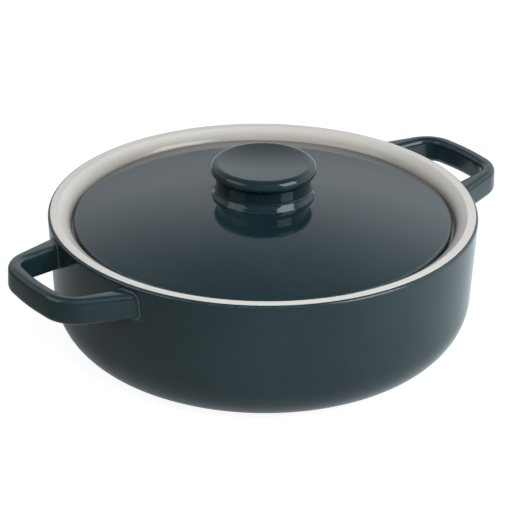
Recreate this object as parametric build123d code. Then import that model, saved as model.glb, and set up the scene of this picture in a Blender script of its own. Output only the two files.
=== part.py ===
from build123d import *
import os
from math import cos, radians, sqrt, tan

# Covered casserole dish in glazed stoneware: a round dish with two loop handles,
# and a domed lid that drops into a gallery inside the rim.
# Millimetres. +Z is up, the origin is on the table under the centre of the dish,
# and the handles lie along X.

# Dish, outside
rim_radius = 130.0          # outside, at the very top
dish_height = 85.0          # table to rim
wall_draft = 2.8            # degrees that the wall leans outwards
base_corner_radius = 32.5   # outside, wall into base
foot_height = 1.2           # foot ring below the base
foot_radius = 93.0          # outside of the foot ring
foot_width = 5.0
foot_round = 0.5
base_recess = 0.8           # how far the base is hollowed inside the foot ring

# Dish, inside
wall_thickness = 6.5
base_thickness = 7.5
inside_corner_radius = 25.0
rim_width = 6.6             # flat top of the rim, wall face to gallery
rim_outer_round = 2.0
rim_inner_round = 1.3

# Gallery that holds the lid
seat_depth = 11.8           # rim down to the ledge that the lid sits on
ledge_width = 7.0
ledge_lip = 4.0             # upright inner face of the ledge
ledge_round = 2.0
ledge_root_round = 9.0      # under the ledge, back into the wall
ledge_slope = 14.0          # height over which the ledge's underside runs into the wall
gallery_knee = 5.2          # rim down to where the sloping gallery turns upright
gallery_knee_round = 7.0
gallery_slope_width = 7.4   # rim's inner edge in to the upright gallery wall
gallery_foot_round = 1.5

# Lid
lid_clearance = 1.4         # between the lid's edge and the upright gallery wall
lid_thickness = 6.0
lid_rise = 15.4             # edge of the dome to its crown
lid_top_round = 2.7
lid_bottom_round = 1.6
bearing_width = 4.5         # bare ring under the lid's edge

# Knob
knob_height = 20.0          # crown of the lid to the knob's crest
knob_radius = 31.8
knob_waist_radius = 28.7
knob_flare_radius = 31.2
knob_top_round = 4.5        # crest over to the roll's side
knob_roll_height = 8.2      # crest down to the waist
knob_undercut = 2.2         # height over which the roll runs in to the waist
knob_roll_round = 2.4
knob_waist_round = 2.0
knob_flare_height = 3.2     # waist down to the flare's edge
knob_flare_rise = 0.2       # flare's edge above the lid's crown
knob_flare_round = 6.0
knob_foot_round = 0.9
knob_dish_depth = 2.4       # hollow in the knob's top
knob_crest_round = 2.5

# Loop handles
handle_reach = 37.0         # dish wall to the outermost face
handle_bar = 8.8            # width of the outer bar, seen from above
handle_depth = 16.4         # top face to underside
handle_drop = 4.0           # rim down to the handle's top face, at the wall
handle_tilt = 2.5           # degrees that the loop rises outwards
gap_half_at_wall = 33.6     # finger gap, half its width
gap_half_at_bar = 27.6
gap_corner_radius = 11.0
arm_width_at_wall = 14.8    # the arms spread where they are luted to the wall
arm_width_at_bar = 5.4      # measured to the corner, before it is rounded off
outer_corner_radius = 23.0
bar_bow = 2.8               # how far the outer bar bulges outwards at its middle
bow_flatness = 4            # round at the bow's middle, in half lengths of the bar
handle_edge_round = 4.2
handle_root_depth = 6.0     # loop runs this far inside the wall before it is cut to fit

# Cutting shapes run past what they cut by this much
cut_margin = 1.0

# Glaze
glaze_thickness = 0.5       # cream coat
glaze_rim_overlap = 0.5     # cream coat's edge, past the flat of the rim onto its outer round

# Worked out from the sizes above
draft = radians(wall_draft)
lean = tan(draft)
seat_z = dish_height - seat_depth
gallery_radius = rim_radius - rim_width - gallery_slope_width
ledge_radius = gallery_radius - ledge_width
lid_radius = gallery_radius - lid_clearance
lid_edge_z = seat_z + lid_thickness
lid_crown_z = lid_edge_z + lid_rise
knob_crest_z = lid_crown_z + knob_height
inside_floor_z = foot_height + base_thickness


def outside_radius(z):
    """Radius of the dish's outer wall at a height, without its rounded corners."""
    return rim_radius - (dish_height - z) * lean


def inside_radius(z):
    return outside_radius(z) - wall_thickness / cos(draft)


def rounded_section(corners):
    """Face in the RZ plane from (radius, height, corner round) triples."""
    points = [(r, z) for r, z, _ in corners]
    rounds = [rounding for _, _, rounding in corners]
    return make_face(FilletPolyline(*points, radius=rounds, close=True))


def block(r0, r1, z0, z1):
    """Plain rectangle in the RZ plane."""
    return Pos((r0 + r1) / 2, (z0 + z1) / 2) * Rectangle(r1 - r0, z1 - z0)


def disc_under_dome(edge_radius, edge_z, crown_z):
    """Circle through the crown whose arc meets the edge: everything under a dome."""
    rise = crown_z - edge_z
    dome_radius = (edge_radius ** 2 + rise ** 2) / (2 * rise)
    return Pos(0, crown_z - dome_radius) * Circle(dome_radius)


def turned(section):
    """Solid made by turning an RZ section about Z."""
    return revolve(Plane.XZ * section, axis=Axis.Z)


def dish_outside():
    """Everything inside the dish's outer surface, base to rim, as a section."""
    foot_inner = foot_radius - foot_width
    return rounded_section([
        (0, foot_height + base_recess, 0),
        (foot_inner - base_recess, foot_height + base_recess, 0),
        (foot_inner, 0, foot_round),
        (foot_radius, 0, foot_round),
        (foot_radius, foot_height, 0),
        (outside_radius(foot_height), foot_height, base_corner_radius),
        (rim_radius, dish_height, rim_outer_round),
        (0, dish_height, 0),
    ])


def dish_cavity():
    """The space inside the dish as a section, from the floor to above the rim."""
    above = dish_height + seat_depth
    ledge_foot_z = seat_z - ledge_slope
    return rounded_section([
        (0, inside_floor_z, 0),
        (inside_radius(inside_floor_z), inside_floor_z, inside_corner_radius),
        (inside_radius(ledge_foot_z), ledge_foot_z, ledge_root_round),
        (ledge_radius, seat_z - ledge_lip, ledge_round),
        (ledge_radius, seat_z, ledge_round),
        (gallery_radius, seat_z, gallery_foot_round),
        (gallery_radius, dish_height - gallery_knee, gallery_knee_round),
        (rim_radius - rim_width, dish_height, 0),
        (rim_radius - rim_width, above, 0),
        (0, above, 0),
    ])


def dish_sections():
    """Clay and cream glaze of the dish, as two sections that meet face to face."""
    whole = dish_outside() - dish_cavity()
    inner_lip = [v for v in whole.vertices() if abs(v.X - rim_radius + rim_width) < 0.01]
    inner_lip = [v for v in inner_lip if abs(v.Y - dish_height) < 0.01]
    whole = fillet(inner_lip, rim_inner_round)
    coat_edge = rim_radius - rim_outer_round + glaze_rim_overlap
    over_rim = block(0, coat_edge, dish_height - rim_outer_round, dish_height + seat_depth)
    air = (dish_cavity() + over_rim) - whole
    coat = offset(air, amount=glaze_thickness) & whole
    return whole - coat, coat


def lid_sections():
    """Clay and cream glaze of the lid plate."""
    plate = rounded_section([
        (0, seat_z, 0),
        (lid_radius, seat_z, lid_bottom_round),
        (lid_radius, lid_crown_z, 0),
        (0, lid_crown_z, 0),
    ])
    plate = plate & disc_under_dome(lid_radius, lid_edge_z, lid_crown_z)
    rim_edge = plate.vertices().filter_by(lambda v: v.X > lid_radius - 0.01).sort_by(Axis.Y)
    plate = fillet(rim_edge[-1], lid_top_round)
    bearing_inner = lid_radius - lid_bottom_round - bearing_width
    hollow = disc_under_dome(bearing_inner, seat_z, lid_crown_z - lid_thickness)
    coat_reach = disc_under_dome(bearing_inner, seat_z + glaze_thickness,
                                 lid_crown_z - lid_thickness + glaze_thickness)
    under = block(0, bearing_inner, seat_z - cut_margin, lid_crown_z)
    coat = (plate - hollow) & coat_reach & under
    return plate - (hollow & under) - coat, coat


def knob_section():
    """Waisted knob whose foot follows the lid's dome."""
    foot_z = lid_edge_z
    waist_top = knob_crest_z - knob_roll_height
    flare_edge_z = lid_crown_z + knob_flare_rise
    knob = rounded_section([
        (0, foot_z, 0),
        (knob_flare_radius, foot_z, 0),
        (knob_flare_radius, flare_edge_z, knob_foot_round),
        (knob_waist_radius, flare_edge_z + knob_flare_height, knob_flare_round),
        (knob_waist_radius, waist_top, knob_waist_round),
        (knob_radius, waist_top + knob_undercut, knob_roll_round),
        (knob_radius, knob_crest_z, knob_top_round),
        (0, knob_crest_z, 0),
    ])
    lid_top = disc_under_dome(lid_radius, lid_edge_z, lid_crown_z)
    crest = knob_radius - knob_top_round
    bowl_radius = (crest ** 2 + knob_dish_depth ** 2) / (2 * knob_dish_depth)
    bowl = Pos(0, knob_crest_z - knob_dish_depth + bowl_radius) * Circle(bowl_radius)
    knob = knob - lid_top - bowl
    crest_edge = knob.vertices().sort_by(Axis.Y)[-1]
    return fillet(crest_edge, knob_crest_round)


def handle(side):
    """Loop handle, cut to the dish's wall. side is +1 on +X, -1 on -X."""
    top_z = dish_height - handle_drop
    wall_x = outside_radius(top_z)
    root_half = gap_half_at_wall + arm_width_at_wall
    root_x = sqrt(wall_x ** 2 - root_half ** 2) - handle_root_depth
    outer_x = wall_x + handle_reach
    inner_x = outer_x - handle_bar
    bar_half = gap_half_at_bar + arm_width_at_bar
    outer = make_face(loop_outline(root_x, outer_x, root_half, bar_half, outer_corner_radius))
    inner = make_face(loop_outline(root_x, inner_x, gap_half_at_wall, gap_half_at_bar,
                                   gap_corner_radius))
    bar = extrude(Plane.XY.offset(top_z - handle_depth) * (outer - inner), handle_depth)
    level_edges = bar.edges().filter_by(lambda e: abs(e.tangent_at(0.5).Z) < 0.01)
    long_edges = level_edges.filter_by(lambda e: e.center().X > root_x + 0.01)
    bar = fillet(long_edges, handle_edge_round)
    tilted = Pos(wall_x, 0, top_z) * Rot(0, -handle_tilt, 0) * Pos(-wall_x, 0, -top_z) * bar
    loop = tilted - turned(dish_outside())
    return loop if side > 0 else Rot(0, 0, 180) * loop


def loop_outline(root_x, end_x, half_at_root, half_at_end, corner):
    """Closed outline of a loop: straight sides, rounded corners, gently bowed end."""
    shoulder_x = end_x - bar_bow
    return FilletPolyline(
        (root_x, -half_at_root), (shoulder_x, -half_at_end), (end_x, 0),
        (shoulder_x, half_at_end), (root_x, half_at_root),
        radius=[0, corner, bow_flatness * half_at_end, corner, 0], close=True)


def build():
    dish_clay, dish_coat = dish_sections()
    lid_clay, lid_coat = lid_sections()
    return {
        "dish_body": turned(dish_clay),
        "dish_lining": turned(dish_coat),
        "left_handle": handle(-1),
        "right_handle": handle(+1),
        "lid_plate": turned(lid_clay),
        "lid_lining": turned(lid_coat),
        "lid_knob": turned(knob_section()),
    }


os.makedirs("parts", exist_ok=True)
for node, shape in build().items():
    export_step(shape, f"parts/{node}.step")
    print(node, "volume", round(shape.volume / 1000, 2), "cm3")
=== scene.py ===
from math import acos, atan2, cos, hypot, pi, radians, sin, sqrt, tan

import bmesh
import bpy
from mathutils import Matrix, Vector


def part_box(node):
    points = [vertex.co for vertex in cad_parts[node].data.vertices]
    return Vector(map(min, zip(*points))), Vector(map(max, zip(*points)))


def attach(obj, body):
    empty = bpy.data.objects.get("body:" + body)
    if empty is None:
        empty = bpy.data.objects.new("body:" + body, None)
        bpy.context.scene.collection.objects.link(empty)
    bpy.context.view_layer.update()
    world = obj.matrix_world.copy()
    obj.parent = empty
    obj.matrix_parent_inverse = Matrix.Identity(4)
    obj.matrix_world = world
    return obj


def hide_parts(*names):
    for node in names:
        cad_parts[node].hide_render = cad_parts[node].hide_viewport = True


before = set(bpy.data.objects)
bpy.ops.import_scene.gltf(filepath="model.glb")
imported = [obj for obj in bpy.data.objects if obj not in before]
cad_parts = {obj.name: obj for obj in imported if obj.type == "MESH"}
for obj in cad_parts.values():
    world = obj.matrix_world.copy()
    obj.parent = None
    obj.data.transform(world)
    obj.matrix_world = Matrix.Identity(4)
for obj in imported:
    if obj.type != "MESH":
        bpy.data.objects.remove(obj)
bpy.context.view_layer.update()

mm = 0.001
tiny = 0.001 * mm        # a run shorter than this is dropped, and a ring smaller than this is one point
fineness = {
    "turn": 192,                                 # faces round the dish
    "dome": 48,                                  # rings from the edge of a dome to its crown
    "arc": radians(5), "fewest": 4,              # longest step of a round, and its fewest steps
    "run": 2.5 * mm, "knobRun": 1.0 * mm,        # longest step along a section, and along the knob's
    "crease": radians(55),                       # folds sharper than this aren't shaded smooth
}
print("frame loaded:", ", ".join(sorted(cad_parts)))


def roundedPath(corners, pieces=None):
    # corners are (x, y, round) and each round becomes an arc that touches both of its runs
    path = [Vector(corners[0][:2])]
    for before, (x, y, rounding), after in zip(corners, corners[1:], corners[2:]):
        here = Vector((x, y))
        if rounding == 0:
            path.append(here)
            continue
        towardsLast = (Vector(before[:2]) - here).normalized()
        towardsNext = (Vector(after[:2]) - here).normalized()
        half = acos(max(-1, min(1, towardsLast.dot(towardsNext)))) / 2
        centre = here + (towardsLast + towardsNext).normalized() * rounding / sin(half)
        first = here + towardsLast * rounding / tan(half) - centre
        last = here + towardsNext * rounding / tan(half) - centre
        sweep = atan2(first.x * last.y - first.y * last.x, first.dot(last))
        count = pieces or max(fineness["fewest"], int(abs(sweep) / fineness["arc"]))
        for k in range(count + 1):
            turn = sweep * k / count
            path.append(centre + Vector((first.x * cos(turn) - first.y * sin(turn),
                                         first.x * sin(turn) + first.y * cos(turn))))
    path.append(Vector(corners[-1][:2]))
    return path


def domeRadius(edgeRadius, rise):
    return (edgeRadius ** 2 + rise ** 2) / (2 * rise)


def domeHeight(r, edgeRadius, edgeHeight, crownHeight):
    sphere = domeRadius(edgeRadius, crownHeight - edgeHeight)
    return crownHeight - sphere + sqrt(sphere ** 2 - r ** 2)


def domePath(outer, edgeRadius, edgeHeight, crownHeight):
    # from a radius in to the axis, along the dome
    steps = fineness["dome"]
    places = [outer * (1 - k / steps) for k in range(steps + 1)]
    return [Vector((r, domeHeight(r, edgeRadius, edgeHeight, crownHeight))) for r in places]


def pushedPath(path, distance):
    # the same path, moved sideways to its right
    pushed = []
    for i, point in enumerate(path):
        along = (path[min(i + 1, len(path) - 1)] - path[max(i - 1, 0)]).normalized()
        pushed.append(Vector((max(0, point.x + along.y * distance), point.y - along.x * distance)))
    return pushed


def evenSteps(path, longest):
    # splits long runs, so that masks and shading have points to sit on
    finer = [path[0]]
    for a, b in zip(path, path[1:]):
        if (b - a).length < tiny:
            continue
        parts = max(1, round((b - a).length / longest))
        finer += [a.lerp(b, k / parts) for k in range(1, parts + 1)]
    return finer


def fade(value, start, end):
    # 0 at start, 1 at end, smooth between, and start may be the larger
    t = max(0, min(1, (value - start) / (end - start)))
    return t * t * (3 - 2 * t)


maskNames = ("thin", "pooled", "bare")       # glaze drawn thin, and painted highlight on the lid's edge and the handles' seam lips; glaze gathered, and painted shade in the dish's gallery; no glaze


def newMesh():
    bm = bmesh.new()
    for name in maskNames:
        bm.verts.layers.float.new(name)
    return bm


def newVert(bm, place, masks):
    vert = bm.verts.new(place)
    for name, value in masks.items():
        vert[bm.verts.layers.float[name]] = value
    return vert


def joinRings(bm, low, high):
    # a ring of one point is where the surface meets the axis
    size = max(len(low), len(high))
    for k in range(size if size > 1 else 0):
        n = (k + 1) % size
        if len(low) == 1:
            bm.faces.new((low[0], high[n], high[k]))
        elif len(high) == 1:
            bm.faces.new((low[k], low[n], high[0]))
        else:
            bm.faces.new((low[k], low[n], high[n], high[k]))


def meshFrom(bm, name):
    bmesh.ops.recalc_face_normals(bm, faces=bm.faces)
    mesh = bpy.data.meshes.new(name)
    bm.to_mesh(mesh)
    bm.free()
    mesh.shade_smooth()
    mesh.set_sharp_from_angle(angle=fineness["crease"])
    piece = bpy.data.objects.new(name, mesh)
    bpy.context.collection.objects.link(piece)
    return piece


def thrown(name, path, masksAt, longest=fineness["run"]):
    # path is a section in (radius, height) that starts and ends on the axis
    bm = newMesh()
    last = None
    steps = fineness["turn"]
    for point in evenSteps(path, longest):
        masks = masksAt(point.x, point.y)
        spots = steps if point.x > tiny else 1
        ring = [newVert(bm, (point.x * cos(2 * pi * k / steps),
                             point.x * sin(2 * pi * k / steps), point.y), masks)
                for k in range(spots)]
        if last:
            joinRings(bm, last, ring)
        last = ring
    return meshFrom(bm, name)


def onBody(piece, body, node, material):
    piece.data.materials.append(material)
    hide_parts(node)
    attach(piece, body)


class Wire:
    # a shader socket that can stand in a sum
    def __init__(self, sheet, out):
        self.sheet = sheet
        self.out = out

    def maths(self, operation, a, b):
        return self.sheet.node("ShaderNodeMath", {"operation": operation}, {0: a, 1: b})

    def __add__(self, other):
        return self.maths("ADD", self, other)

    def __radd__(self, other):
        return self.maths("ADD", other, self)

    def __sub__(self, other):
        return self.maths("SUBTRACT", self, other)

    def __rsub__(self, other):
        return self.maths("SUBTRACT", other, self)

    def __mul__(self, other):
        return self.maths("MULTIPLY", self, other)

    def __rmul__(self, other):
        return self.maths("MULTIPLY", other, self)


class Sheet:
    # one node tree, and the one way that nodes are added to it
    def __init__(self, tree):
        self.tree = tree
        tree.nodes.clear()

    def node(self, kind, settings=None, sockets=None, output=0):
        made = self.tree.nodes.new(kind)
        for key, value in (settings or {}).items():
            if key == "stops":
                self.setStops(made.color_ramp, value)
            else:
                setattr(made, key, value)
        for key, value in (sockets or {}).items():
            if isinstance(value, Wire):
                self.tree.links.new(value.out, made.inputs[key])
            else:
                made.inputs[key].default_value = value
        return Wire(self, made.outputs[output]) if made.outputs else made

    def setStops(self, ramp, stops):
        # a ramp starts with two elements, and the rest are added before any is placed
        while len(ramp.elements) < len(stops):
            ramp.elements.new(0.5)
        for element, (place, level) in zip(ramp.elements, stops):
            element.position = place
            element.color = (level, level, level, 1)

    def mask(self, name):
        return self.node("ShaderNodeAttribute", {"attribute_name": name}, output="Fac")

    def noise(self, place, scale, detail, roughness):
        return self.node("ShaderNodeTexNoise", {}, {
            "Vector": place, "Scale": scale, "Detail": detail, "Roughness": roughness})

    def ramp(self, value, stops):
        return self.node("ShaderNodeValToRGB", {"stops": stops}, {"Fac": value})

    def blend(self, factor, a, b):
        # a Mix node's colours are its inputs 6 and 7 and its output 2
        return self.node("ShaderNodeMix", {"data_type": "RGBA"},
                         {"Factor": factor, 6: a, 7: b}, output=2)


def rgb(red, green, blue):
    # from the 0 to 255 of a paint chart to light, by the sRGB curve
    def straight(level):
        share = level / 255
        return share / 12.92 if share <= 0.04045 else ((share + 0.055) / 1.055) ** 2.4
    return (straight(red), straight(green), straight(blue), 1)


tealGlaze = {
    "deep": rgb(18, 37, 42), "open": rgb(30, 49, 54),        # thick glaze and where it opens out
    # the thin colour is also a painted highlight, on the lid's edge and the handles' seam lips
    "thin": rgb(74, 88, 90), "pooled": rgb(9, 20, 26),
    "fleck": rgb(58, 66, 66), "fleckShare": 0.35,
    "gloss": 0.07, "glossDrift": 0.06,                       # roughness, and how much cloudiness adds
    "ripple": 0.10, "peel": 0.035,
}
creamGlaze = {
    "deep": rgb(208, 204, 199), "open": rgb(216, 213, 209),
    # the pooled colour is also painted shade, in the gallery round the lid
    "thin": rgb(198, 186, 170), "pooled": rgb(138, 130, 119),
    "fleck": rgb(150, 128, 104), "fleckShare": 0.30,
    "gloss": 0.10, "glossDrift": 0.08,
    "ripple": 0.09, "peel": 0.04,
}
bareClay = {"pale": rgb(206, 192, 170), "dark": rgb(168, 150, 126), "roughness": 0.78, "grain": 0.5}

# Both glazes have this grain. Three numbers are a noise's scale for a metre, its detail and its
# roughness, and stops are the values at which a noise or a mask turns to 0 and to 1.
grain = {
    "drift": (16.0, 3.0, 0.5), "driftStops": ((0.32, 0.0), (0.70, 1.0)),       # clouds, a few cm across
    "mottle": (420.0, 3.0, 0.6), "mottleStops": ((0.35, 0.0), (0.68, 1.0)),
    "fleck": (1500.0, 1.0, 0.5), "fleckStops": ((0.685, 0.0), (0.735, 1.0)),
    "broken": (240.0, 3.0, 0.6),                             # makes the edges of masks uneven
    "thinHighlightStops": ((0.30, 0.0), (0.95, 1.0)), "thinHighlightLeast": 0.55, "thinHighlightBroken": 0.9,
    "bareStops": ((0.46, 0.0), (0.54, 1.0)), "bareBroken": 0.25,
    "pooledShadeLeast": 0.7, "driftShare": 0.7,
    "thinHighlightRough": 0.10, "fleckRough": 0.12,
    "ripple": (38.0, 2.0, 0.45),                             # slow waves left by dipping
    "peel": (330.0, 2.0, 0.5), "grit": (1900.0, 3.0, 0.7),
    "bumpStrength": 0.35, "bumpHeight": 1.2 * mm, "ior": 1.52,
}


def glaze(name, look):
    material = bpy.data.materials.new(name)
    material.use_nodes = True
    sheet = Sheet(material.node_tree)
    place = sheet.node("ShaderNodeTexCoord", output="Object")

    drift = sheet.ramp(sheet.noise(place, *grain["drift"]), grain["driftStops"])
    mottle = sheet.ramp(sheet.noise(place, *grain["mottle"]), grain["mottleStops"])
    flecks = sheet.ramp(sheet.noise(place, *grain["fleck"]), grain["fleckStops"])
    broken = sheet.noise(place, *grain["broken"])

    # the thin mask also paints highlights on the lid edge and seam lips, and the pooled mask paints
    # shade in the gallery, besides the glaze's own thinning and pooling
    thinAndHighlightEdge = sheet.mask("thin") * (grain["thinHighlightLeast"] + broken * grain["thinHighlightBroken"])
    thin = sheet.ramp(thinAndHighlightEdge, grain["thinHighlightStops"])
    pooled = sheet.mask("pooled") * (grain["pooledShadeLeast"] + drift * (1 - grain["pooledShadeLeast"]))
    bareEdge = sheet.mask("bare") + (broken - 0.5) * grain["bareBroken"]
    bare = sheet.ramp(bareEdge, grain["bareStops"])

    clouds = drift * grain["driftShare"] + mottle * (1 - grain["driftShare"])
    colour = sheet.blend(clouds, look["deep"], look["open"])
    colour = sheet.blend(pooled, colour, look["pooled"])
    colour = sheet.blend(thin, colour, look["thin"])
    colour = sheet.blend(flecks * look["fleckShare"], colour, look["fleck"])
    clay = sheet.blend(mottle, bareClay["dark"], bareClay["pale"])
    colour = sheet.blend(bare, colour, clay)

    roughness = look["gloss"] + drift * look["glossDrift"]
    roughness = roughness + thin * grain["thinHighlightRough"] + flecks * grain["fleckRough"]
    roughness = roughness + bare * (bareClay["roughness"] - look["gloss"])

    ripple = sheet.noise(place, *grain["ripple"])
    peel = sheet.noise(place, *grain["peel"])
    grit = sheet.noise(place, *grain["grit"])
    relief = ripple * look["ripple"] + peel * look["peel"] + grit * bare * bareClay["grain"]
    normal = sheet.node("ShaderNodeBump", {}, {
        "Strength": grain["bumpStrength"], "Distance": grain["bumpHeight"], "Height": relief})

    surface = sheet.node("ShaderNodeBsdfPrincipled", {}, {
        "Base Color": colour, "Roughness": roughness, "Normal": normal, "IOR": grain["ior"]})
    sheet.node("ShaderNodeOutputMaterial", {}, {"Surface": surface})
    print("glaze mixed:", name)
    return material


tealCoat = glaze("teal_glaze", tealGlaze)
creamCoat = glaze("cream_glaze", creamGlaze)

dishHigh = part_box("dish_body")[1]
lidLow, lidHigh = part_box("lid_plate")
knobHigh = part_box("lid_knob")[1]
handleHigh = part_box("right_handle")[1]
rimZ = dishHigh.z
seatZ = lidLow.z
crownZ = lidHigh.z

# In the dictionaries of the pieces, a pair of sizes is where a mask starts and where it is full,
# measured from the place in its name: Across and Up along the radius and the height, and Aside
# to either side. A name that ends in Thin, Pooled, Shade or Highlight is how strong that mask is.

dish = {
    "rimSwell": 0.092 * mm,                      # sharp rim corner, out past the rounded one
    "draft": radians(2.8), "wall": 6.5 * mm, "floor": 7.5 * mm,
    "baseCorner": 32.5 * mm, "insideCorner": 25 * mm,
    "footHeight": 1.2 * mm, "footRadius": 93 * mm, "footWidth": 5 * mm, "footRound": 0.5 * mm,
    "baseRecess": 0.8 * mm,
    "rimWidth": 6.6 * mm, "rimOuterRound": 2.0 * mm, "rimInnerRound": 1.3 * mm,
    "ledgeWidth": 7 * mm, "ledgeLip": 4 * mm, "ledgeRound": 2 * mm,
    "ledgeRootRound": 9 * mm, "ledgeSlope": 14 * mm,
    "galleryKnee": 5.2 * mm, "galleryKneeRound": 7 * mm,
    "gallerySlope": 7.4 * mm, "galleryFootRound": 1.5 * mm,
    "rimAcross": (-1.9 * mm, -0.9 * mm), "rimUp": (-2.6 * mm, -1.0 * mm), "rimThin": 0.45,
    "footUp": (1.2 * mm, 0), "footThin": 0.8,
    "tableUp": (0.9 * mm, 0.5 * mm),             # the foot ring is bare where it stands
}
rimRadius = dishHigh.x + dish["rimSwell"]
lipRadius = rimRadius - dish["rimWidth"]
galleryRadius = lipRadius - dish["gallerySlope"]
ledgeRadius = galleryRadius - dish["ledgeWidth"]
floorZ = dish["footHeight"] + dish["floor"]


def wallRadius(z):
    return rimRadius - (rimZ - z) * tan(dish["draft"])


def innerWallRadius(z):
    return wallRadius(z) - dish["wall"] / cos(dish["draft"])


def dishOutline():
    # all the way round the section, from the middle of the floor to the middle of the base
    ledgeFootZ = seatZ - dish["ledgeSlope"]
    footInner = dish["footRadius"] - dish["footWidth"]
    baseZ = dish["footHeight"] + dish["baseRecess"]
    return roundedPath([
        (0, floorZ, 0),
        (innerWallRadius(floorZ), floorZ, dish["insideCorner"]),
        (innerWallRadius(ledgeFootZ), ledgeFootZ, dish["ledgeRootRound"]),
        (ledgeRadius, seatZ - dish["ledgeLip"], dish["ledgeRound"]),
        (ledgeRadius, seatZ, dish["ledgeRound"]),
        (galleryRadius, seatZ, dish["galleryFootRound"]),
        (galleryRadius, rimZ - dish["galleryKnee"], dish["galleryKneeRound"]),
        (lipRadius, rimZ, dish["rimInnerRound"]),
        (rimRadius, rimZ, dish["rimOuterRound"]),
        (wallRadius(dish["footHeight"]), dish["footHeight"], dish["baseCorner"]),
        (dish["footRadius"], dish["footHeight"], 0),
        (dish["footRadius"], 0, dish["footRound"]),
        (footInner, 0, dish["footRound"]),
        (footInner - dish["baseRecess"], baseZ, 0),
        (0, baseZ, 0)])


def dishMasks(r, z):
    rimEdge = fade(r - rimRadius, *dish["rimAcross"]) * fade(z - rimZ, *dish["rimUp"])
    footEdge = fade(z - dish["footHeight"], *dish["footUp"])
    thin = dish["rimThin"] * rimEdge + dish["footThin"] * footEdge
    return {"thin": thin, "pooled": 0, "bare": fade(z, *dish["tableUp"])}


lining = {                                       # the cream coat inside the dish
    "thick": 0.5 * mm, "pastRim": 0.5 * mm,
    "lipAside": (1.3 * mm, 0.2 * mm), "lipUp": (-1.6 * mm, -0.3 * mm), "lipThinHighlight": 0.35,
    "rimAcross": (-2.2 * mm, -1.5 * mm), "rimThin": 0.8,
    "ledgeAside": (2.2 * mm, 0.3 * mm), "ledgeUp": (-2.4 * mm, -0.5 * mm), "ledgeThin": 0.5,
    # the gallery the lid sits in is painted darker: some pooled glaze, and painted shade where the lid
    # and the gallery wall keep light out
    "galleryAcross": (-1 * mm, 0), "galleryUp": (0, -5.5 * mm), "galleryPooledShade": 0.8,
    "cornerAcross": (78 * mm, 100 * mm),         # this one from the axis
    "cornerUp": (22 * mm, 0), "cornerPooled": 0.5,
}


def liningMasks(r, z):
    lip = fade(abs(r - lipRadius), *lining["lipAside"]) * fade(z - rimZ, *lining["lipUp"])
    rim = fade(r - rimRadius, *lining["rimAcross"])
    ledge = fade(abs(r - ledgeRadius), *lining["ledgeAside"]) * fade(z - seatZ, *lining["ledgeUp"])
    # painted shade in the gallery, with its pooled glaze
    gallery = fade(r - galleryRadius, *lining["galleryAcross"]) * fade(z - rimZ, *lining["galleryUp"])
    corner = fade(r, *lining["cornerAcross"]) * fade(z - floorZ, *lining["cornerUp"])
    thin = lining["lipThinHighlight"] * lip + lining["rimThin"] * rim + lining["ledgeThin"] * ledge
    pooled = lining["galleryPooledShade"] * gallery + lining["cornerPooled"] * corner
    return {"thin": thin, "pooled": min(1, pooled), "bare": 0}


# The cream coat runs over the rim, and its outer edge splits the outline in two.
outline = dishOutline()
coatEdge = rimRadius - dish["rimOuterRound"] + lining["pastRim"]
split = next(i for i, p in enumerate(outline) if p.y > seatZ and p.x > coatEdge)
creamFace = outline[:split]
creamBack = pushedPath(creamFace, lining["thick"])[:-1] + [creamFace[-1]]
dishShell = thrown("dish_shell", creamBack + outline[split:], dishMasks)
onBody(dishShell, "dish", "dish_body", tealCoat)
dishCoat = thrown("dish_coat", creamFace + creamBack[::-1], liningMasks)
onBody(dishCoat, "dish", "dish_lining", creamCoat)
print("dish thrown:", len(dishShell.data.vertices) + len(dishCoat.data.vertices), "points")

lid = {
    "rise": 15.4 * mm, "thickness": 6 * mm, "topRound": 2.7 * mm, "bottomRound": 1.6 * mm,
    "bearing": 4.5 * mm, "coat": 0.5 * mm,
    "edgeRun": 6 * mm,                           # the dome's last stretch, drawn with the edge's rounds
    "edgeIn": 0.8 * mm,                          # the thin line, glaze break and a painted highlight, is this far in from the edge
    "edgeAside": (1.9 * mm, 0.3 * mm), "edgeUp": (-2.6 * mm, -0.8 * mm), "edgeThinHighlight": 0.6,
    "bearingAcross": (-0.5 * mm, 0), "bearingUp": (0.9 * mm, 0.5 * mm),
    "coatAcross": (-2.5 * mm, 0),
}
lidRadius = lidHigh.x
edgeZ = crownZ - lid["rise"]
bearingInner = lidRadius - lid["bottomRound"] - lid["bearing"]


def lidDome(r):
    return domeHeight(r, lidRadius, edgeZ, crownZ)


def lidUnderside(lift):
    return domePath(bearingInner, bearingInner, seatZ + lift, crownZ - lid["thickness"] + lift)


def lidMasks(r, z):
    # a lighter line along the lid's edge: thin glaze, and a painted highlight on the rounded edge
    edge = fade(abs(r - lidRadius + lid["edgeIn"]), *lid["edgeAside"]) * fade(z - edgeZ, *lid["edgeUp"])
    bearing = fade(r - bearingInner, *lid["bearingAcross"]) * fade(z - seatZ, *lid["bearingUp"])
    return {"thin": lid["edgeThinHighlight"] * edge, "pooled": 0, "bare": bearing}


def lidCoatMasks(r, z):
    return {"thin": fade(r - bearingInner, *lid["coatAcross"]), "pooled": 0, "bare": 0}


lidEdge = roundedPath([
    (lidRadius - lid["edgeRun"], lidDome(lidRadius - lid["edgeRun"]), 0),
    (lidRadius, edgeZ, lid["topRound"]),
    (lidRadius, seatZ, lid["bottomRound"]),
    (bearingInner, seatZ, 0)])
lidTop = domePath(lidRadius - lid["edgeRun"], lidRadius, edgeZ, crownZ)[::-1]
lidPlate = thrown("lid_plate_glazed", lidTop + lidEdge + lidUnderside(lid["coat"]), lidMasks)
onBody(lidPlate, "lid", "lid_plate", tealCoat)
lidCoat = thrown("lid_coat", lidUnderside(0)[::-1] + lidUnderside(lid["coat"]), lidCoatMasks)
onBody(lidCoat, "lid", "lid_lining", creamCoat)
print("lid thrown")

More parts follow.
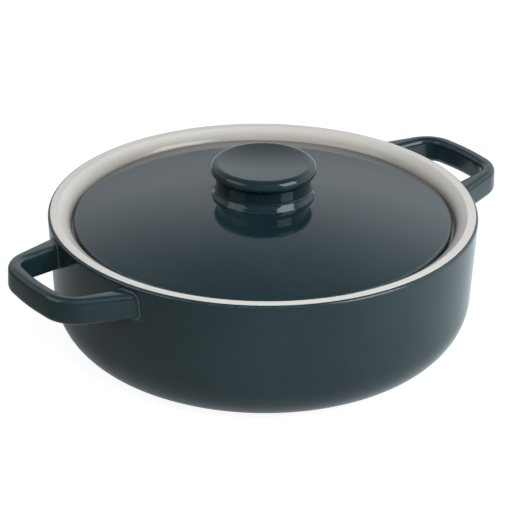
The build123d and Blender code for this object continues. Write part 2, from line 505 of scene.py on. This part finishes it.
knob = {
    "waist": 28.7 * mm, "flare": 31.2 * mm, "topRound": 4.5 * mm,
    "rollHeight": 8.2 * mm, "undercut": 2.2 * mm, "rollRound": 2.4 * mm, "waistRound": 2.0 * mm,
    "flareHeight": 3.2 * mm, "flareRise": 0.2 * mm, "flareRound": 6.0 * mm, "footRound": 0.9 * mm,
    "bowl": 2.4 * mm, "crestRound": 2.5 * mm,
    "sunk": 0.2 * mm,                            # how far the foot goes into the lid
    "crestRun": 0.3 * mm,                        # level run kept for the crest's inner round
    "bowlRun": 2 * mm,                           # the hollow's points start this far in from the crest
    "crestAside": (2.2 * mm, 0.3 * mm), "crestUp": (-1.5 * mm, -0.4 * mm), "crestThin": 0.35,
    "flareAside": (1.5 * mm, 0.2 * mm), "flareAcross": (-1 * mm, 0), "flareThin": 0.4,
    "footUp": (0.4 * mm, -1.5 * mm), "footPooled": 0.6,
    "neckAcross": (1.2 * mm, 0), "neckUp": (-5 * mm, -8 * mm), "neckPooled": 0.5,
}
knobRadius = knobHigh.x
crestZ = knobHigh.z
crestRadius = knobRadius - knob["topRound"]


def knobOutline():
    waistTop = crestZ - knob["rollHeight"]
    flareZ = crownZ + knob["flareRise"]
    under = [Vector((p.x, lidDome(p.x) - knob["sunk"]))
             for p in domePath(knob["flare"], lidRadius, edgeZ, crownZ)]
    bowl = [(p.x, 2 * crestZ - knob["bowl"] - p.y, 0)
            for p in domePath(crestRadius, crestRadius, crestZ - knob["bowl"], crestZ)
            if p.x < crestRadius - knob["bowlRun"]]
    return under[::-1] + roundedPath([
        (knob["flare"], lidDome(knob["flare"]) - knob["sunk"], 0),
        (knob["flare"], flareZ, knob["footRound"]),
        (knob["waist"], flareZ + knob["flareHeight"], knob["flareRound"]),
        (knob["waist"], waistTop, knob["waistRound"]),
        (knobRadius, waistTop + knob["undercut"], knob["rollRound"]),
        (knobRadius, crestZ, knob["topRound"] - knob["crestRun"]),
        (crestRadius, crestZ, knob["crestRound"])] + bowl)


def knobMasks(r, z):
    crest = fade(abs(r - crestRadius), *knob["crestAside"]) * fade(z - crestZ, *knob["crestUp"])
    flare = fade(abs(z - crownZ), *knob["flareAside"]) * fade(r - knob["flare"], *knob["flareAcross"])
    foot = fade(z - crownZ, *knob["footUp"])
    neck = fade(r - knob["waist"], *knob["neckAcross"]) * fade(z - crestZ, *knob["neckUp"])
    thin = knob["crestThin"] * crest + knob["flareThin"] * flare
    pooled = knob["footPooled"] * foot + knob["neckPooled"] * neck
    return {"thin": thin, "pooled": min(1, pooled), "bare": 0}


lidKnob = thrown("lid_knob_glazed", knobOutline(), knobMasks, fineness["knobRun"])
onBody(lidKnob, "lid", "lid_knob", tealCoat)
print("knob thrown")

loop = {
    "bar": 8.8 * mm, "depth": 16.4 * mm, "drop": 4.0 * mm, "tilt": radians(2.5),
    "gapAtWall": 33.6 * mm, "gapAtBar": 27.6 * mm, "gapCorner": 11 * mm,
    "armAtWall": 14.8 * mm, "armAtBar": 5.4 * mm, "outerCorner": 23 * mm,
    "bow": 2.8 * mm, "bowFlatness": 4,           # the bar's bulge, and its round in half lengths
    "topRound": 3.6 * mm, "underRound": 4.2 * mm,
    "roundLimit": 0.49,                          # the largest round, as a share of the width
    "root": 6 * mm,                              # the outline starts this far inside the wall
    "tiltGain": 0.024 * mm,                      # the tilt carries the bar out by this much
    "luting": 1.5 * mm,                          # clay smoothed into the corner with the wall
    "sunk": 0.25 * mm,                           # how far the arms' ends go into the wall
    "stations": (0, 0.08, 0.25, 0.5, 0.9, 1.5, 2.5, 4, 6, 9, 12, 15),      # sections, in mm off the wall
    "halvings": 30,                              # of the search for a place near the wall
    "cornerPieces": 12, "armSteps": 14, "barSteps": 6, "sectionSteps": 8,
    "topThin": 0.50, "underThin": 0.30,
    "seamOff": (2.2 * mm, 0.4 * mm), "seamPooled": 0.5,                    # measured off the wall
    # the lip is a lighter line where an arm meets the wall: glaze breaking over the luting, and a
    # painted highlight
    "lipOff": (0.9 * mm, 0.5 * mm), "lipStart": (0.0, 0.3 * mm), "lipThinHighlight": 0.7,
}
loopTopZ = rimZ - loop["drop"]
loopWallX = wallRadius(loopTopZ)


def loopOutline(rootX, endX, halfAtRoot, halfAtEnd, corner):
    shoulder = endX - loop["bow"]
    path = roundedPath([
        (rootX, -halfAtRoot, 0), (shoulder, -halfAtEnd, corner),
        (endX, 0, loop["bowFlatness"] * halfAtEnd),
        (shoulder, halfAtEnd, corner), (rootX, halfAtRoot, 0)], loop["cornerPieces"])
    corners = loop["cornerPieces"] + 1
    steps = {0: loop["armSteps"], corners: loop["barSteps"],
             2 * corners: loop["barSteps"], 3 * corners: loop["armSteps"]}
    filled = [path[0]]
    for i, (a, b) in enumerate(zip(path, path[1:])):
        parts = steps.get(i, 1)
        filled += [a.lerp(b, k / parts) for k in range(1, parts + 1)]
    return filled


def loopSection(inner, outer, spread):
    # rounded section across the loop at one station, before the loop is tilted
    side = (outer - inner).normalized()
    width = (outer - inner).length
    top = min(loop["topRound"], loop["roundLimit"] * width)
    under = min(loop["underRound"], loop["roundLimit"] * width)
    middles = [(width - top, -top, top), (top, -top, top),
               (under, under - loop["depth"], under), (width - under, under - loop["depth"], under)]
    places = []
    for corner, (across, down, rounding) in enumerate(middles):
        for k in range(loop["sectionSteps"] + 1):
            turn = pi / 2 * (corner + k / loop["sectionSteps"])
            spot = inner + side * (across + (rounding + spread) * cos(turn))
            places.append(Vector((spot.x, spot.y, loopTopZ + down + (rounding + spread) * sin(turn))))
    return places


def tilted(place):
    out = place.x - loopWallX
    up = place.z - loopTopZ
    return Vector((loopWallX + out * cos(loop["tilt"]) - up * sin(loop["tilt"]), place.y,
                   loopTopZ + out * sin(loop["tilt"]) + up * cos(loop["tilt"])))


def offWall(place):
    return hypot(place.x, place.y) - wallRadius(place.z)


def awayFromWall(root, tip, distance):
    # the place between root and tip that lies this far off the dish's wall
    low, high = 0.0, 1.0
    for _ in range(loop["halvings"]):
        middle = (low + high) / 2
        if offWall(root.lerp(tip, middle)) < distance:
            low = middle
        else:
            high = middle
    return root.lerp(tip, low)


def lutingSpread(distance):
    # a hollow quarter round, as wide as the luting at the wall and nothing at its far side
    size = loop["luting"]
    inside = max(0.0, min(distance, size))
    return size - sqrt(size ** 2 - (size - inside) ** 2)


def armStations(rootInner, rootOuter, tipInner, tipOuter):
    stations = []
    for distance in [-loop["sunk"]] + [step * mm for step in loop["stations"]]:
        spread = lutingSpread(distance)
        roots = [tilted(p) for p in loopSection(rootInner, rootOuter, spread)]
        tips = [tilted(p) for p in loopSection(tipInner, tipOuter, spread)]
        stations.append([awayFromWall(a, b, distance) for a, b in zip(roots, tips)])
    return stations


def loopMasks(place, index):
    # a section's first two corners are its top ones, and the glaze is thinnest half way round each
    corner, step = divmod(index, loop["sectionSteps"] + 1)
    onEdge = 1 - abs(2 * step / loop["sectionSteps"] - 1)
    edgeThinHighlight = loop["topThin"] if corner < 2 else loop["underThin"]
    seam = fade(offWall(place), *loop["seamOff"])
    # a painted highlight along the seam lip, with the glaze that breaks there
    lip = fade(offWall(place), *loop["lipOff"]) * fade(offWall(place), *loop["lipStart"])
    return {"thin": edgeThinHighlight * onEdge * (1 - seam) + loop["lipThinHighlight"] * lip,
            "pooled": loop["seamPooled"] * seam * (1 - lip), "bare": 0}


def handle(name, side):
    halfRoot = loop["gapAtWall"] + loop["armAtWall"]
    halfBar = loop["gapAtBar"] + loop["armAtBar"]
    rootX = sqrt(loopWallX ** 2 - halfRoot ** 2) - loop["root"]
    endX = handleHigh.x - loop["tiltGain"]
    outer = loopOutline(rootX, endX, halfRoot, halfBar, loop["outerCorner"])
    inner = loopOutline(rootX, endX - loop["bar"], loop["gapAtWall"], loop["gapAtBar"],
                        loop["gapCorner"])
    steps = loop["armSteps"]
    last = len(outer) - 1
    front = armStations(inner[0], outer[0], inner[steps], outer[steps])
    back = armStations(inner[last], outer[last], inner[last - steps], outer[last - steps])
    middle = [[tilted(p) for p in loopSection(inner[k], outer[k], 0)]
              for k in range(steps, last - steps + 1)]
    turn = Matrix.Rotation(0 if side > 0 else pi, 3, "Z")
    bm = newMesh()
    rings = [[newVert(bm, turn @ p, loopMasks(p, i)) for i, p in enumerate(station)]
             for station in front + middle + back[::-1]]
    for low, high in zip(rings, rings[1:]):
        joinRings(bm, low, high)
    bm.faces.new(rings[0])
    bm.faces.new(rings[-1])
    return meshFrom(bm, name)


for side, node in ((-1, "left_handle"), (1, "right_handle")):
    piece = handle(node.replace("_handle", "_loop"), side)
    onBody(piece, "dish", node, tealCoat)
print("handles luted on")

camera = {
    "turn": radians(-36.6), "distance": 1.208, "height": 0.6523,
    "down": radians(26.45), "aside": radians(0.19), "roll": radians(0.61),
    "lens": 155.1, "sensor": 36, "farthest": 20,
}


def setCamera():
    data = bpy.data.cameras.new("camera")
    data.lens = camera["lens"]
    data.sensor_width = camera["sensor"]
    data.clip_end = camera["farthest"]
    holder = bpy.data.objects.new("camera", data)
    bpy.context.collection.objects.link(holder)
    aim = (Matrix.Rotation(camera["aside"], 4, "Z") @ Matrix.Rotation(pi / 2 - camera["down"], 4, "X")
           @ Matrix.Rotation(camera["roll"], 4, "Z"))
    stand = Matrix.Translation((0, -camera["distance"], camera["height"]))
    holder.matrix_world = Matrix.Rotation(camera["turn"], 4, "Z") @ stand @ aim
    bpy.context.scene.camera = holder


# A lamp's bearing is in degrees from straight behind the dish as the camera sees it, positive to
# the right, and its climb in degrees above the table.
lamps = {
    "key": {"bearing": 166, "climb": 48, "away": 1.6, "size": (0.9, 0.9), "power": 20,
            "tint": (1.0, 0.97, 0.94), "mirrored": False},
    "right_panel": {"bearing": 122, "climb": 30, "away": 1.4, "size": (0.8, 0.95), "power": 11,
                    "tint": (0.86, 0.96, 1.0), "mirrored": True},
    "left_panel": {"bearing": -115, "climb": 28, "away": 1.5, "size": (1.1, 0.9), "power": 3.6,
                   "tint": (0.92, 0.98, 1.0), "mirrored": True},
}
lampAim = Vector((0, 0, 0.05))                   # the lamps point at this place in the dish


def setLamp(name, lamp):
    data = bpy.data.lights.new(name, "AREA")
    data.shape = "RECTANGLE"
    data.size, data.size_y = lamp["size"]
    data.energy = lamp["power"]
    data.color = lamp["tint"]
    holder = bpy.data.objects.new(name, data)
    bpy.context.collection.objects.link(holder)
    heading = radians(90 - lamp["bearing"]) + camera["turn"]
    climb = radians(lamp["climb"])
    place = Vector((cos(heading) * cos(climb), sin(heading) * cos(climb), sin(climb))) * lamp["away"]
    holder.location = place + lampAim
    holder.rotation_euler = (-place).to_track_quat("-Z", "Y").to_euler()
    holder.visible_glossy = lamp["mirrored"]


studio = {
    "white": 1.05,                                           # what the camera sees behind the dish
    "plain": (1, 1, 1, 1),
    "floorHalf": 6.0, "floorPaint": (0.24, 0.24, 0.24, 1), "floorLift": 0.92,
    "floorRoughness": 0.9, "floorSpecular": 0.1,
    "floorTint": (0.80, 0.93, 1.0, 1), "floorGlow": 1.0,     # light that the floor gives the dish
    "glowBehind": 0.6, "glowRight": 0.8,                     # it grows towards here, behind and right
    "glowStart": -0.40, "glowEnd": 0.42,                     # metres along that way
    # tent brightness, from level, 0.5, to straight up, 1
    "tent": ((0.50, 0.36), (0.57, 0.62), (0.66, 0.97), (0.74, 0.97), (0.84, 0.56), (0.92, 0.22),
             (1.0, 0.15)),
    "tentTint": (0.89, 0.94, 1.0, 1),
    "tentFront": 0.28, "openStart": 0.25, "openEnd": 0.75,   # the side towards the camera is darker
    "tentRight": 0.38,                                       # and the right is brighter than the left
    "tentSoft": 0.36,                                        # share of it that reaches matt surfaces
}
behind = Matrix.Rotation(camera["turn"], 3, "Z") @ Vector((0, 1, 0))
rightward = Matrix.Rotation(camera["turn"], 3, "Z") @ Vector((1, 0, 0))


def alongWay(sheet, vector, way):
    return sheet.node("ShaderNodeVectorMath", {"operation": "DOT_PRODUCT"},
                      {0: vector, 1: way}, output="Value")


def setFloor():
    bm = bmesh.new()
    half = studio["floorHalf"]
    corners = [bm.verts.new((x * half, y * half, 0)) for x, y in ((-1, -1), (1, -1), (1, 1), (-1, 1))]
    bm.faces.new(corners)
    mesh = bpy.data.meshes.new("floor")
    bm.to_mesh(mesh)
    bm.free()
    floor = bpy.data.objects.new("floor", mesh)
    bpy.context.collection.objects.link(floor)
    material = bpy.data.materials.new("floor_paper")
    material.use_nodes = True
    sheet = Sheet(material.node_tree)
    seen = sheet.node("ShaderNodeLightPath", output="Is Camera Ray")
    place = sheet.node("ShaderNodeTexCoord", output="Object")
    glowWay = behind * studio["glowBehind"] + rightward * studio["glowRight"]
    lit = sheet.node("ShaderNodeMapRange", {"interpolation_type": "SMOOTHSTEP"}, {
        "Value": alongWay(sheet, place, glowWay),
        "From Min": studio["glowStart"], "From Max": studio["glowEnd"]})
    surface = sheet.node("ShaderNodeBsdfPrincipled", {}, {
        "Base Color": studio["floorPaint"], "Roughness": studio["floorRoughness"],
        "Specular IOR Level": studio["floorSpecular"],
        "Emission Color": sheet.blend(seen, studio["floorTint"], studio["plain"]),
        "Emission Strength": seen * studio["floorLift"] + (1 - seen) * lit * studio["floorGlow"]})
    sheet.node("ShaderNodeOutputMaterial", {}, {"Surface": surface})
    mesh.materials.append(material)


def setWorld():
    world = bpy.data.worlds.new("studio")
    world.use_nodes = True
    bpy.context.scene.world = world
    sheet = Sheet(world.node_tree)
    seen = sheet.node("ShaderNodeLightPath", output="Is Camera Ray")
    heading = sheet.node("ShaderNodeTexCoord", output="Generated")
    climb = alongWay(sheet, heading, (0, 0, 0.5)) + 0.5      # 0 straight down, 0.5 level, 1 straight up
    tent = sheet.ramp(climb, studio["tent"])
    back = alongWay(sheet, heading, behind * 0.5) + 0.5      # 0 towards the camera, 1 away from it
    openSide = sheet.node("ShaderNodeMapRange", {"interpolation_type": "SMOOTHSTEP"}, {
        "Value": back, "From Min": studio["openStart"], "From Max": studio["openEnd"],
        "To Min": studio["tentFront"], "To Max": 1.0})
    right = 1 + alongWay(sheet, heading, rightward) * studio["tentRight"]
    mirrored = sheet.node("ShaderNodeLightPath", output="Is Glossy Ray")
    share = studio["tentSoft"] + mirrored * (1 - studio["tentSoft"])
    level = seen * studio["white"] + (1 - seen) * tent * openSide * right * share
    tint = sheet.blend(seen, studio["tentTint"], studio["plain"])
    glow = sheet.node("ShaderNodeBackground", {}, {"Color": tint, "Strength": level})
    sheet.node("ShaderNodeOutputWorld", {}, {"Surface": glow})


setCamera()
setFloor()
setWorld()
for name, lamp in lamps.items():
    setLamp(name, lamp)
bpy.context.scene.view_settings.view_transform = "Standard"
print("studio set")
